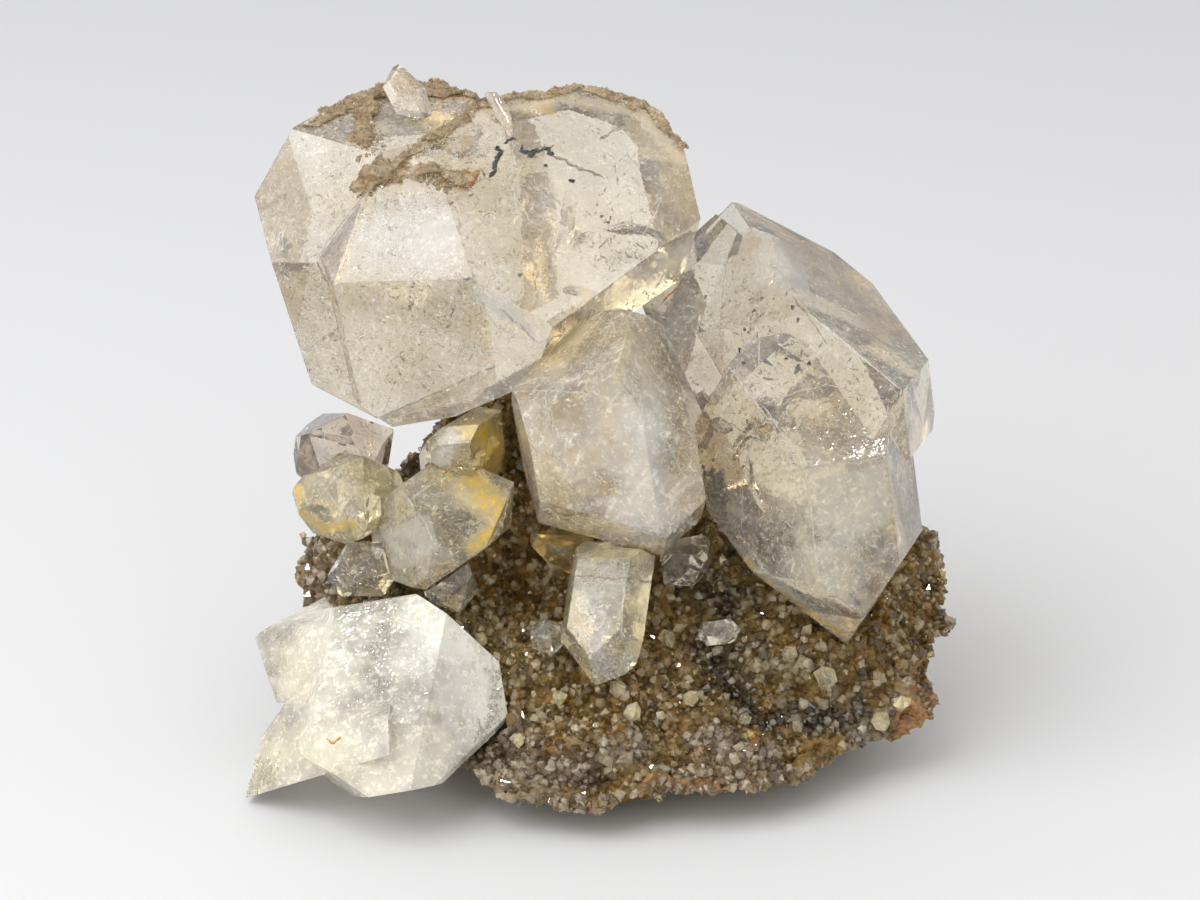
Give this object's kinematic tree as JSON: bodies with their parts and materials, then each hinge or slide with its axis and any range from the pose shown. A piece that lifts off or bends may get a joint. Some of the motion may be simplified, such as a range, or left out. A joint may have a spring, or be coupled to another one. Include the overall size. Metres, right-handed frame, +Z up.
{
  "type": "herkimer diamond cluster on matrix",
  "caption": "Loose mineral specimen of clear, double-ended quartz crystals grown on a lump of brown, druse-covered rock, resting on the rock's flat spot.",
  "frame": {"origin": "on the flat underside of the rock, below the middle of the specimen", "axes": "+Z up, +X to the right along the specimen's longest side, -Y towards the showy front"},
  "size_m": [0.0916, 0.0695, 0.0813],
  "materials": {
    "clear_quartz": "polished",
    "smoky_clear_quartz": "polished",
    "veiled_quartz": "polished",
    "milky_quartz": "satin",
    "golden_quartz": "polished",
    "druse_rock": "rough, glittering",
    "brown_crust": "rough"
  },
  "bodies": {
    "root": {"druse_matrix": "druse_rock", "twin_crystal": "clear_quartz", "right_crystal": "smoky_clear_quartz", "centre_crystal": "veiled_quartz", "small_prism": "veiled_quartz", "golden_tip_crystal": "golden_quartz", "golden_rear_crystal": "golden_quartz", "yellow_left_crystal": "golden_quartz", "smoky_crystal": "smoky_clear_quartz", "clear_left_crystal": "clear_quartz", "clear_low_crystal": "clear_quartz", "amber_crystal": "golden_quartz", "front_crystal": "milky_quartz", "block_crystal": "smoky_clear_quartz", "bead_crystal": "clear_quartz", "lens_crystal": "clear_quartz", "crust_ridge": "brown_crust", "crust_rear": "brown_crust", "blade_chip": "milky_quartz", "blade_edge": "clear_quartz"}
  },
  "joints": []
}
